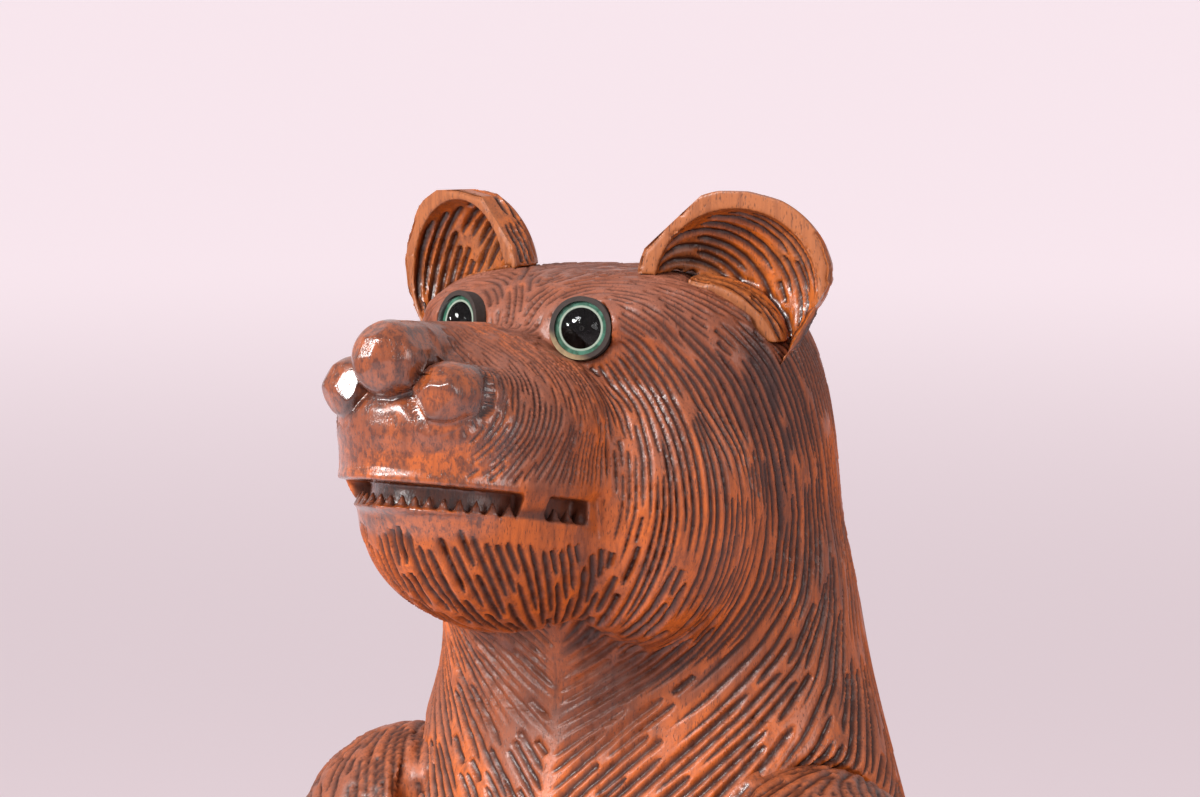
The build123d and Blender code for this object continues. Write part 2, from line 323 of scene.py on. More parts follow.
def relax(piece, rounds, weight=None):
    """Evens out a surface: every point moves toward the middle of its neighbours."""
    points = points_of(piece)
    edges = np.zeros(len(piece.data.edges) * 2, np.int64)
    piece.data.edges.foreach_get("vertices", edges)
    one, two = edges[0::2], edges[1::2]
    count = len(points)
    degree = np.maximum(np.bincount(one, minlength=count) + np.bincount(two, minlength=count), 1)
    share = (0.5 if weight is None else 0.5 * weight)
    for _ in range(rounds):
        for axis in range(3):
            column = points[:, axis]
            total = np.bincount(one, column[two], count) + np.bincount(two, column[one], count)
            column += share * (total / degree - column)
    set_points(piece, points)


# %% [markdown]
# ## The lie of the fur
# A carver pencils a few flow lines on the block and then cuts along them. The same is done
# here: each line below is a short run of points on the bear's left side, as (outward, forward,
# up from the mouth's height) in millimetres, and the other side mirrors it. The direction at
# any point of the surface is a blend of the lines near it.

# %% Flow lines
HEAD_Z = 530.0
FLOW_LINES = [
    # from the bridge of the nose round the nostril and back under it
    [(8, 116, 28), (17, 112, 22), (25, 116, 12), (28, 121, 1), (26, 130, -8), (20, 137, -13)],
    [(14, 98, 26), (25, 101, 17), (32, 105, 5), (34, 112, -6), (31, 120, -15)],
    # under the eye to the lip
    [(22, 89, 19), (31, 93, 9), (36, 94, -3), (38, 97, -15)],
    # outer corner of the eye, down the jaw to the throat
    [(29, 76, 19), (38, 75, 8), (46, 80, -7), (48, 83, -24), (43, 84, -40), (31, 79, -54),
     (8, 62, -67)],
    [(37, 71, 24), (47, 66, 10), (56, 68, -7), (60, 69, -25), (57, 70, -40), (49, 70, -54),
     (29, 64, -68), (8, 56, -78)],
    # over the brow, round the cheek and down to the parting on the chest
    [(30, 68, 37), (45, 65, 28), (57, 57, 12), (63, 49, -9), (65, 48, -30), (60, 48, -49),
     (47, 49, -66), (30, 50, -78), (14, 54, -88), (4, 56, -94)],
    [(17, 63, 44), (36, 59, 41), (54, 53, 33), (65, 41, 16), (69, 31, -7), (69, 24, -32),
     (67, 26, -54), (59, 34, -70), (45, 44, -86), (29, 53, -100), (14, 60, -115)],
    [(28, 50, 45), (52, 43, 40), (66, 31, 27), (71, 20, 8), (71, 12, -14), (71, 8, -37),
     (71, 12, -58), (67, 21, -77), (58, 36, -93), (46, 47, -107), (34, 56, -120)],
    [(67, 21, 25), (71, 15, 4), (71, 9, -18), (71, 3, -41), (72, 2, -63), (74, 8, -84),
     (71, 22, -102), (65, 37, -117), (55, 50, -135)],
    [(71, -6, -40), (72, -3, -66), (75, -2, -88), (80, 8, -108), (78, 22, -122)],
    # chin and lower lip to the throat
    [(2, 141, -31), (2, 134, -42), (3, 120, -53), (3, 100, -62), (2, 80, -68)],
    [(14, 137, -30), (15, 130, -42), (12, 115, -55), (7, 92, -65)],
    [(24, 126, -32), (24, 118, -45), (18, 104, -57), (9, 82, -67)],
    [(32, 110, -35), (29, 102, -48), (19, 88, -60), (8, 70, -68)],
    [(38, 95, -35), (33, 87, -48), (20, 74, -61), (6, 60, -70)],
    # forehead, from the bridge up and out over the crown
    [(3, 92, 30), (6, 80, 35), (12, 73, 41), (22, 66, 42)],
    [(8, 82, 30), (8, 74, 40), (14, 64, 44), (26, 52, 46)],
    [(6, 60, 45), (7, 40, 47), (8, 15, 45), (8, -12, 37), (8, -31, 18), (8, -40, -10),
     (8, -44, -45), (8, -50, -85), (8, -56, -125)],
    [(30, 12, 42), (40, -8, 32), (46, -22, 12), (48, -30, -12), (48, -36, -45), (48, -42, -85),
     (50, -48, -125)],
    [(60, 5, 30), (64, -8, 8), (65, -15, -15), (65, -20, -45), (65, -24, -80), (68, -28, -112),
     (72, -30, -140)],
    # chest and belly
    [(30, 60, -130), (16, 68, -150), (10, 76, -170)],
    [(66, 45, -140), (50, 60, -165), (38, 74, -195)],
    [(12, 82, -190), (12, 90, -230), (12, 91, -280), (12, 84, -330), (10, 66, -375)],
    [(60, 66, -200), (62, 70, -245), (60, 64, -300), (58, 60, -350)],
    # back and flanks
    [(20, -66, -165), (22, -76, -220), (20, -76, -290), (16, -66, -350), (12, -56, -395)],
    [(70, -42, -160), (76, -48, -220), (74, -46, -290), (66, -44, -350), (60, -42, -400)],
    [(96, -10, -250), (92, -4, -310), (92, 6, -370), (84, 2, -420), (80, 0, -480)],
    # thighs, shins and feet
    [(50, 66, -370), (54, 60, -410), (54, 48, -445), (54, 56, -470), (56, 80, -482),
     (58, 96, -490)],
    [(86, 30, -380), (84, 26, -430), (80, 30, -470), (80, 50, -488)],
    [(50, -50, -400), (50, -42, -440), (50, -36, -485)],
    # shoulder, upper arm and forearm
    [(78, -8, -118), (98, 6, -124), (110, 30, -130), (100, 56, -132)],
    [(96, 40, -118), (112, 30, -150), (115, 24, -195), (116, 20, -235), (116, 30, -262)],
    [(104, -6, -150), (108, -12, -200), (112, -8, -240), (112, 10, -268)],
    [(92, 60, -155), (96, 56, -195), (104, 60, -225), (106, 90, -236), (98, 118, -238)],
    [(112, 40, -260), (112, 75, -262), (104, 105, -262), (92, 126, -260)],
    [(90, 30, -272), (88, 70, -272), (82, 104, -268)],
]

line_points = []
line_directions = []
for line in FLOW_LINES:
    steps = [Vector(b) - Vector(a) for a, b in zip(line, line[1:])]
    for (a, b), run in zip(zip(line, line[1:]), steps):
        parts = max(1, round(run.length / 12))
        for part in range(parts):
            spot = Vector(a) + run * ((part + 0.5) / parts)
            line_points.append((spot.x * MM, -spot.y * MM, (HEAD_Z + spot.z) * MM))
            way = Vector((run.x, -run.y, run.z)).normalized()
            line_directions.append(tuple(way))
line_points = np.array(line_points)
line_directions = np.array(line_directions)
BLEND_REACH = 5.0 * MM
print("flow line stretches:", len(line_points))


def fur_direction(place):
    """The way the fur lies at a place: lines close by count most."""
    near = np.array((abs(place[0]), place[1], place[2]))
    gap = ((line_points - near) ** 2).sum(1)
    weight = 1 / (gap + BLEND_REACH ** 2) ** 2
    way = weight @ line_directions
    way = Vector(way / (np.linalg.norm(way) + 1e-12))
    if place[0] < 0:
        way.x = -way.x
    return way


# %% [markdown]
# ## Cutting the fur
# Every cut is one push of the gouge: it enters shallow, runs deep, and lifts out, so it
# tapers at both ends. Cuts lie side by side, one pitch apart, and never cross. They are laid
# out by walking along the fur's direction over the surface, a millimetre at a time, and by
# starting a new cut beside each finished one until no room is left.


# %% Laying out the cuts
LONGEST_STEP = 1.0 * MM
CELL = 4.0 * MM


def stride_for(pitch):
    """How far one step of the walk goes."""
    return min(LONGEST_STEP, pitch * 0.4)


def always(value):
    """A rule that gives the same value at every place."""
    return lambda place: value


class Carving:
    """The cuts laid on one surface."""

    def __init__(self, piece, pitch_at, bare_at, way_at, length_range, bold_at, seed):
        """Each rule gives, at a place: the distance between cuts, whether to leave it bare,
        the fur's direction, the range of lengths, and how boldly the gouge is driven."""
        self.points = points_of(piece)
        self.normals = normals_of(piece)
        faces = [tuple(f.vertices) for f in piece.data.polygons]
        self.skin = BVHTree.FromPolygons([tuple(p) for p in self.points], faces)
        self.pitch_at = pitch_at
        self.bare_at = bare_at
        self.way_at = way_at
        self.length_range = length_range
        self.bold_at = bold_at
        self.random = random.Random(seed)
        self.cells = {}
        self.spots = []
        self.ways = []
        self.depths = []
        self.widths = []
        self.tones = []

    def key(self, place):
        return tuple(int(math.floor(c / CELL)) for c in place)

    def crowded(self, place, room, own=-1):
        """True when another cut lies nearer than room."""
        kx, ky, kz = self.key(place)
        reach = 1 if room <= CELL else 2
        limit = room * room
        for i in range(kx - reach, kx + reach + 1):
            for j in range(ky - reach, ky + reach + 1):
                for k in range(kz - reach, kz + reach + 1):
                    for spot, owner in self.cells.get((i, j, k), ()):
                        if owner != own and (spot - place).length_squared < limit:
                            return True
        return False

    def walk(self, start, way_sign, pitch, length, own):
        """Places along the fur from start, until the cut ends or runs into another."""
        stride = stride_for(pitch)
        place = start
        trail = []
        before = None
        travelled = 0.0
        while travelled < length:
            hit, normal, _, _ = self.skin.find_nearest(place)
            if hit is None:
                break
            way = self.way_at(hit) * way_sign
            way = way - normal * way.dot(normal)
            if way.length < 0.25:
                break
            way.normalize()
            if trail and (self.bare_at(hit) or self.crowded(hit, pitch * 0.60, own)):
                break
            if before is not None and way.dot(before) < 0.5:
                break
            before = way
            trail.append((hit, way * way_sign, normal))
            place = hit + way * stride
            if hit.x * place.x < 0:
                break
            travelled += stride
        return trail

    def cut_from(self, start, own):
        """One whole cut through a start, as a list of places, ways and normals."""
        pitch = self.pitch_at(start)
        low, high = self.length_range(start)
        length = self.random.uniform(low, high)
        ahead = self.walk(start, 1, pitch, length * 0.6, own)
        behind = self.walk(start, -1, pitch, length * 0.4, own)
        trail = behind[:0:-1] + ahead
        if len(trail) * stride_for(pitch) < pitch * 2.2:
            return []
        return trail

    def lay(self, limit=9000):
        """Lays cuts until no room is left, or the limit is reached."""
        order = list(range(len(self.points)))
        self.random.shuffle(order)
        queue = []
        number = 0
        fresh = iter(order[::3])
        while number < limit:
            if queue:
                start = queue.pop(self.random.randrange(len(queue)))
            else:
                index = next(fresh, None)
                if index is None:
                    break
                start = Vector(self.points[index])
            pitch = self.pitch_at(start)
            if self.bare_at(start) or self.crowded(start, pitch * 0.88):
                continue
            trail = self.cut_from(start, number)
            if not trail:
                continue
            self.keep(trail, pitch, number)
            for hit, way, normal in trail[2::9]:
                side = way.cross(normal).normalized()
                queue.append(hit + side * pitch)
                queue.append(hit - side * pitch)
            number += 1
        print("laid", number, "cuts,", len(self.spots), "places")

    def keep(self, trail, pitch, number):
        """Stores one cut's places, with its depth and width tapered at both ends."""
        bold = self.bold_at(trail[len(trail) // 2][0])
        depth = pitch * self.random.uniform(0.34, 0.48) * bold
        width = pitch * self.random.uniform(0.44, 0.56) * min(bold, 1.1)
        last = len(trail) - 1
        entry = self.random.uniform(0.06, 0.16)
        leave = self.random.uniform(0.18, 0.42)
        shake = self.random.uniform(0, 9)
        tone = self.random.uniform(-1, 1)
        for i, (hit, way, _) in enumerate(trail):
            along = i / last
            taper = min(1.0, along / entry, (1 - along) / leave)
            taper = math.sin(max(taper, 0.0) * math.pi / 2)
            chatter = 1 + 0.12 * math.sin(i * 0.9 + shake) + 0.10 * math.sin(i * 0.37 + 2 * shake)
            self.spots.append(hit)
            self.ways.append(way)
            self.depths.append(depth * taper * chatter)
            self.widths.append(width * (0.35 + 0.65 * taper))
            self.tones.append(tone)
            self.cells.setdefault(self.key(hit), []).append((hit, number))


def carve(piece, carving, snap=0.30):
    """Sinks every point of a piece that lies in a cut.

    Gives back how deep each point lies in its cut, and the tone of the ridge beside that cut."""
    tree = KDTree(len(carving.spots))
    for i, spot in enumerate(carving.spots):
        tree.insert(spot, i)
    tree.balance()
    points = points_of(piece)
    normals = normals_of(piece)
    nearest = np.array([tree.find(p)[1] for p in points])
    spots = np.array(carving.spots)[nearest]
    ways = np.array(carving.ways)[nearest]
    depths = np.array(carving.depths)[nearest]
    widths = np.array(carving.widths)[nearest]
    offset = points - spots
    along = (offset * ways).sum(1)
    offset -= ways * along[:, None]
    offset -= normals * (offset * normals).sum(1)[:, None]
    gap = np.linalg.norm(offset, axis=1)
    beyond = np.abs(along) > 1.2 * MM
    inside = np.clip(1 - gap / np.maximum(widths, 1e-6), 0, 1)
    inside[beyond] = 0
    sink = depths * inside ** 0.85
    close = (gap < snap * MM) & ~beyond & (depths > 0.1 * MM)
    points[close] -= offset[close] * 0.85
    points -= normals * sink[:, None]
    set_points(piece, points)
    depth_share = np.where(beyond, 0, inside ** 0.8 * np.clip(depths / (0.5 * MM), 0, 1))
    return depth_share, np.array(carving.tones)[nearest]


def store(piece, name, values):
    """Keeps one number per point on the mesh, for the material to read."""
    layer = piece.data.attributes.new(name, "FLOAT", "POINT")
    layer.data.foreach_set("value", np.asarray(values, np.float32))


def smooth_shaded(piece, degrees=60):
    only(piece)
    bpy.ops.object.shade_smooth_by_angle(angle=math.radians(degrees))


# %% [markdown]
# ## The head
# The upper part of the block is copied and remeshed fine. Where the CAD's simple solids meet
# there are creases that no gouge would leave, so a coarser, well relaxed copy is made, and the
# fine surface is drawn onto it everywhere except at the nose, the mouth and the eyes.

# %% Head form
NOSE_BALLS = [((0, 144.5, 23.5), 11.5), ((16.5, 138.5, 13.5), 10.2), ((-16.5, 138.5, 13.5), 10.2)]
EYE = (22.5, 76.6, 28.8)
MOUTH_UP = -25.0
MOUTH_FORWARD = 94.0
MOUTH_RISE = math.tan(math.radians(9.5))
LIP_RADII = (38.0, 53.0)


def head_place(outward, forward, up):
    return Vector((outward * MM, -forward * MM, (HEAD_Z + up) * MM))


def mouth_line(forward):
    """How high the middle of the mouth is, at a distance forward."""
    return MOUTH_UP + (forward - MOUTH_FORWARD) * MOUTH_RISE


def head_axes(points):
    """Outward, forward and up from the mouth's height, in millimetres."""
    return points[:, 0] / MM, -points[:, 1] / MM, points[:, 2] / MM - HEAD_Z


def detail_mask(points):
    """0 on the nose, lips and eyes, 1 on the plain fur."""
    outward, forward, up = head_axes(points)
    mask = np.ones(len(points))
    for (x, f, u), radius in NOSE_BALLS:
        gap = np.sqrt((outward - x) ** 2 + (forward - f) ** 2 + (up - u) ** 2)
        mask *= step(gap, radius + 1, radius + 7)
    for side in (-1, 1):
        gap = np.sqrt((outward - side * EYE[0]) ** 2 + (forward - EYE[1]) ** 2 + (up - EYE[2]) ** 2)
        mask *= step(gap, 12.0, 17.0)
    lips = np.maximum(step(np.abs(up - mouth_line(forward)), 4.5, 8), step(-forward, -88, -80))
    return mask * lips


head = merged_copy("body", "bear_head")
trim(head, COLLAR_Z - OVERLAP, keep_above=True)
coarse = head.copy()
coarse.data = head.data.copy()
bpy.context.scene.collection.objects.link(coarse)
remesh(coarse, 2.0 * MM)
relax(coarse, 14)
remesh(head, HEAD_VOXEL)
head_points = points_of(head)
weight = detail_mask(head_points)
form = BVHTree.FromPolygons(
    [tuple(p) for p in points_of(coarse)], [tuple(f.vertices) for f in coarse.data.polygons])
drawn = np.array([form.find_nearest(p)[0] if w > 0.01 else p for p, w in zip(head_points, weight)])
head_points += (drawn - head_points) * weight[:, None]
set_points(head, head_points)
relax(head, 5, np.clip(weight + 0.12, 0, 1))
bpy.data.objects.remove(coarse)

# %% [markdown]
# The three lobes of the nose aren't balls set on the muzzle: the middle one is the end of the
# bridge, and the wings run back into the cheeks. So every point that lies inside a tapered
# rod, run back from each lobe into the muzzle, is pushed straight out to the rod's surface.

# %% Lobes run into the muzzle
NOSE_RODS = [
    # where the rod starts and its radius there, where it ends and its radius there
    ((0, 144.5, 23.5), 11.3, (0, 96, 18.5), 12.5),
    ((16.5, 138.5, 13.5), 9.6, (23, 112, 9.5), 9.0),
    ((-16.5, 138.5, 13.5), 9.6, (-23, 112, 9.5), 9.0),
]


def swell(points, start, start_radius, end, end_radius):
    """Pushes the points that lie inside a tapered rod out to its surface."""
    one, two = np.array(head_place(*start)), np.array(head_place(*end))
    run = two - one
    along = np.clip((points - one) @ run / (run @ run), 0, 1)
    away_from = points - (one + along[:, None] * run)
    gap = np.maximum(np.linalg.norm(away_from, axis=1), 1e-6)
    reach = (start_radius + (end_radius - start_radius) * along) * MM
    push = np.clip(reach - gap, 0, 5 * MM) * step(gap, 2 * MM, 5 * MM)
    return points + away_from / gap[:, None] * push[:, None]


head_points = points_of(head)
for rod in NOSE_RODS:
    head_points = swell(head_points, *rod)
set_points(head, head_points)
outward, forward, up = head_axes(head_points)
behind_nose = step(forward, 84, 96) * (1 - step(forward, 128, 138)) * step(up, 2, 10)
relax(head, 8, behind_nose)
print("lobes run back:", len(NOSE_RODS))

# %% [markdown]
# The nose was left with the flats of a broad chisel. Each flat is a plane that shaves a
# shallow cap off a ball, so a few planes in different directions give the same facets.

# %% Chisel flats on the nose
FLAT_DEPTH = 0.93
FLATS_PER_BALL = 20
chisel = random.Random(5)
head_points = points_of(head)
for (x, f, u), radius in NOSE_BALLS:
    centre = np.array(head_place(x, f, u))
    for _ in range(FLATS_PER_BALL):
        tilt = Vector((chisel.gauss(0, 1), chisel.gauss(-0.8, 1), chisel.gauss(0.1, 1))).normalized()
        away_from = head_points - centre
        reach = away_from @ np.array(tilt)
        near = np.linalg.norm(away_from, axis=1) < (radius + 3.5) * MM
        over = np.clip(reach - radius * FLAT_DEPTH * chisel.uniform(0.98, 1.06) * MM, 0, None) * near
        head_points -= over[:, None] * np.array(tilt)
set_points(head, head_points)
relax(head, 2, 0.8 * (1 - detail_mask(head_points)) * step(-head_points[:, 1] / MM, 112, 118))
print("flats cut on the nose:", FLATS_PER_BALL * len(NOSE_BALLS))


# %% [markdown]
# ## Cutting the head
# The gouge is finest on the muzzle and round the eyes, and the cuts grow wider down the neck.
# The nose, the front of the upper lip, the lips beside the mouth and the rims of the eyes
# were left bare and smooth.


# %% Head cuts
def head_spot(place):
    return place.x / MM, -place.y / MM, place.z / MM - HEAD_Z


def on_jaw(forward, up):
    return forward > 62 and up < mouth_line(forward) - 3


def head_pitch(place):
    _, forward, up = head_spot(place)
    if on_jaw(forward, up):
        return 3.0 * MM
    fine = 0.55 * max(0.0, min(1.0, (forward - 62) / 25))
    wide = 1.1 * max(0.0, min(1.0, (-up - 45) / 60))
    return (2.55 - fine + wide) * MM


def head_lengths(place):
    _, forward, up = head_spot(place)
    if on_jaw(forward, up):
        return 30 * MM, 64 * MM
    if forward > 80:
        return 14 * MM, 42 * MM
    if up > 28 and forward > 40:
        return 12 * MM, 34 * MM
    return 40 * MM, 110 * MM


def head_boldness(place):
    """How wide and deep the gouge was driven."""
    _, forward, up = head_spot(place)
    if on_jaw(forward, up):
        return 1.25
    return 0.95 if up > 26 or forward > 85 else 1.05


def head_bare(place):
    """True where the wood was left smooth."""
    x, forward, up = head_spot(place)
    side = abs(x)
    if place.z < COLLAR_Z - OVERLAP + 1 * MM:
        return True
    for (bx, bf, bu), radius in NOSE_BALLS:
        if (x - bx) ** 2 + (forward - bf) ** 2 + (up - bu) ** 2 < (radius + 1.0) ** 2:
            return True
    if (side - EYE[0]) ** 2 + (forward - EYE[1]) ** 2 + (up - EYE[2]) ** 2 < 11.6 ** 2:
        return True
    above_mouth = up - mouth_line(forward)
    zigzag = 8.0 + 3.5 * abs(math.sin(13 * math.atan2(side, forward - 60)))
    if forward > 87 and -zigzag < above_mouth < 6.0:
        return True
    if side < 23 - 0.4 * max(0.0, up) and forward > 128 and above_mouth > 0:
        return True
    return side < 6 and forward > 124 and up > 15


head_cuts = Carving(
    head, head_pitch, head_bare, fur_direction, head_lengths, head_boldness, seed=3)
head_cuts.lay()
uncut_points = points_of(head)
cut_depth, ridge_tone = carve(head, head_cuts)


# %% [markdown]
# ## Where the finish is rubbed, stained or dull, and where shade is painted
# Hands have rubbed the cheeks, jaw and chest until the orange of the wood shows. A darker
# band of stain was left behind the cheek and down the side of the neck, and the nose and
# lips carry the thickest lacquer. Shade is painted in the stain colour in the mouth slot, on
# the lower lip and under the chin, where the chin is also painted less orange.


# %% Finish of the head
def within_lips(outward, forward):
    """1 inside the mouth, 0 at the outer face of the lips."""
    reach = np.sqrt((outward / LIP_RADII[0]) ** 2 + ((forward - MOUTH_FORWARD) / LIP_RADII[1]) ** 2)
    return 1 - step(reach, 0.93, 0.98)


def blotches(points, scale, seed):
    shift = Vector((seed * 3.1, seed * 1.7, seed * 2.3))
    return np.array([noise.noise(Vector(p) * scale + shift) for p in points])


def finish_head(piece, points, cut, tone):
    outward, forward, up = head_axes(points)
    side = np.abs(outward)
    lower_face = step(forward, 55, 70) * step(-up, 22, 34)
    ink = 0.98 - 0.22 * step(up, 14, 32) - 0.15 * step(forward, 74, 90) * (1 - lower_face)
    ink -= 0.55 * step(-up, 62, 80) * (1 - step(-up, 96, 112)) * (1 - step(side, 20, 42))
    store(piece, "cut", cut * np.clip(ink, 0.3, 1.0))
    patch = blotches(points, 45.0, 1)
    streak = blotches(points * np.array((1, 1, 0.35)), 160.0, 2)
    glow = 0.62 + 0.6 * patch + 0.2 * streak + 0.30 * tone
    glow += 0.45 * step(-up, -5, 30) - 0.45 * step(up, 8, 36)
    glow += 0.12 * step(forward, 95, 135) * step(-up, -4, 10)
    # painted shade: under the chin the wood is painted less orange
    glow -= 0.35 * step(-up, 60, 74) * (1 - step(-up, 96, 112)) * (1 - step(side, 24, 44))
    back_of_cheek = np.exp(-(((forward - 27 - 0.25 * (up + 20)) / 11) ** 2)) * step(side, 45, 60)
    band = back_of_cheek * step(up, -112, -84) * (1 - step(up, 26, 42))
    stain_and_shade = np.clip(band * (0.42 + 0.35 * tone + 0.9 * streak), 0, 0.8)
    # painted shade: the front of the lower lip is darkened with patches of the stain colour
    painted_lip_shade = step(forward, 112, 130) * step(up, -40, -28)
    stain_and_shade = np.maximum(stain_and_shade, painted_lip_shade * np.clip(0.22 + 0.5 * patch, 0, 0.6))
    # painted shade: the stain colour is laid under the chin
    painted_throat_shade = step(-up, 55, 66) * (1 - step(-up, 96, 116)) * (1 - step(side, 24, 44))
    stain_and_shade = np.maximum(stain_and_shade, 0.34 * painted_throat_shade * (1 - step(forward, 84, 96)))
    polish = 0.25 + 0.35 * patch
    for (x, f, u), radius in NOSE_BALLS:
        near = np.sqrt((outward - x) ** 2 + (forward - f) ** 2 + (up - u) ** 2)
        on_lobe = 1 - step(near, radius, radius + 5)
        polish = np.maximum(polish, on_lobe)
        glow = np.maximum(glow, on_lobe * (0.85 + 0.4 * patch))
        seam = np.exp(-(((near - radius - 1.0) / 1.6) ** 2)) * step(up, 3, 7)
        stain_and_shade = np.maximum(stain_and_shade, 0.8 * seam * (1 - step(up, 22, 30)))
    polish = np.maximum(polish, step(forward, 118, 132) * step(up, -34, -26))
    # painted shade: the inside of the mouth slot is darkened with the stain colour
    slot = 1 - step(np.abs(up - mouth_line(forward)), 3.2, 4.2)
    painted_mouth_shade = slot * step(forward, 84, 90) * within_lips(outward, forward)
    stain_and_shade = np.maximum(stain_and_shade, 0.75 * painted_mouth_shade)
    store(piece, "glow", np.clip(glow, 0, 1.3))
    store(piece, "stain_and_shade", stain_and_shade)
    store(piece, "polish", np.clip(polish, 0, 1))


finish_head(head, uncut_points, cut_depth, ridge_tone)
print("stored on the head:", [n for n in ("cut", "glow", "stain_and_shade", "polish") if n in head.data.attributes])

# %% [markdown]
# ## The trunk, legs and arms
# The rest of the block is cut in the same way with a broader gouge. Claws and soles stay bare.


# %% Body form and cuts
def body_pitch(place):
    low = max(0.0, min(1.0, (0.40 - place.z) / 0.12))
    return (3.7 + 1.0 * low) * MM


CLAW_TOP = 46.0 * MM
CLAW_FRONT = -88.0 * MM
SOLE_TOP = 36.0 * MM
body_lengths = always((40 * MM, 120 * MM))
body_boldness = always(1.0)


def body_bare(place):
    if place.z < SOLE_TOP or place.z > COLLAR_Z + OVERLAP - 1 * MM:
        return True
    return place.z < CLAW_TOP and place.y < CLAW_FRONT


def finish_body(piece, cut, tone):
    points = points_of(piece)
    patch = blotches(points, 30.0, 4)
    store(piece, "cut", 0.92 * cut)
    store(piece, "glow", np.clip(0.75 + 0.6 * patch + 0.3 * tone, 0, 1.2))
    store(piece, "stain_and_shade", np.clip(0.06 + 0.5 * patch + 0.1 * tone, 0, 0.35))
    store(piece, "polish", np.clip(0.3 + 0.3 * patch, 0, 1))


def claw_mask(points):
    low = (points[:, 2] < CLAW_TOP) & (points[:, 1] < CLAW_FRONT + 8 * MM)
    return np.where(low, 0.12, 1.0)


trunk = merged_copy("body", "bear_trunk")
trim(trunk, COLLAR_Z + OVERLAP, keep_above=False)
remesh(trunk, BODY_VOXEL)
relax(trunk, 12, claw_mask(points_of(trunk)))
trunk_cuts = Carving(
    trunk, body_pitch, body_bare, fur_direction, body_lengths, body_boldness, seed=8)
trunk_cuts.lay()
finish_body(trunk, *carve(trunk, trunk_cuts, snap=0.6))

PAW_FRONT = -118.0 * MM
PAW_TOP = 290.0 * MM
SLOPE_CENTRE = (68, -18, 394)
SLOPE_RADII = (20, 33, 44)
SLOPE_LEAN = math.radians(38)


def arm_bare(place):
    return place.y < PAW_FRONT and place.z < PAW_TOP


def add_shoulder_slope(arm, side):
    """Fills the notch between shoulder and neck with a leaning lump, joined by the remesh."""
    bpy.ops.object.select_all(action="DESELECT")
    outward, back, up = SLOPE_CENTRE
    bpy.ops.mesh.primitive_uv_sphere_add(
        segments=48, ring_count=24, location=(side * outward * MM, back * MM, up * MM),
        rotation=(0, -side * SLOPE_LEAN, 0), scale=[r * MM for r in SLOPE_RADII], radius=1)
    lump = bpy.context.object
    bpy.ops.object.transform_apply(location=True, rotation=True, scale=True)
    bpy.ops.object.select_all(action="DESELECT")
    lump.select_set(True)
    arm.select_set(True)
    bpy.context.view_layer.objects.active = arm
    bpy.ops.object.join()


arms = []
for side_name, side, number in (("left", 1, 21), ("right", -1, 22)):
    arm = merged_copy(f"{side_name}_arm", f"bear_{side_name}_arm")
    add_shoulder_slope(arm, side)
    remesh(arm, BODY_VOXEL)
    paw = points_of(arm)[:, 1] < PAW_FRONT + 4 * MM
    relax(arm, 10, np.where(paw, 0.2, 1.0))
    arm_cuts = Carving(
        arm, body_pitch, arm_bare, fur_direction, body_lengths, body_boldness, seed=number)
    arm_cuts.lay()
    finish_body(arm, *carve(arm, arm_cuts, snap=0.6))
    arms.append(arm)

# %% [markdown]
# ## Ears
# Each ear is a shell with a flat rim, where bare pale wood shows, round a hollow that was
# gouged in long arcs. The arcs bend round the foot of the ear's inner edge. Behind, the cuts
# fan out from the foot.

# %% Ears
EAR_CENTRE = (52.0, 35.0, 39.0)
EAR_TURN = math.radians(20.0)
EAR_FOOT = (-22.0, -14.0)
EAR_PITCH = 2.9 * MM
EAR_LENGTHS = (26 * MM, 70 * MM)
EAR_BOLDNESS = 1.15
# Flats sawn round each ear's edge: (across, up) of the flat's direction, and how far out it is.
EAR_FLATS = {
    "left": [
        (-0.68, 0.73, 28.6), (0.02, 1.0, 30.3), (0.24, 0.97, 30.1), (0.80, 0.60, 31.0),
        (0.95, 0.31, 30.4), (1.0, -0.05, 28.9), (0.86, -0.51, 23.8)],
    "right": [
        (-0.68, 0.73, 28.4), (-0.12, 0.99, 27.9), (0.05, 1.0, 28.2), (0.41, 0.91, 29.9),
        (0.86, 0.51, 30.2), (0.97, -0.24, 28.4), (0.84, -0.55, 26.0)],
}


def ear_frame(side):
    """Centre, outward, facing and up directions of one ear."""
    centre = head_place(side * EAR_CENTRE[0], EAR_CENTRE[1], EAR_CENTRE[2])
    facing = Vector((side * math.sin(EAR_TURN), -math.cos(EAR_TURN), 0))
    outward = Vector((side * math.cos(EAR_TURN), math.sin(EAR_TURN), 0))
    return centre, outward, facing


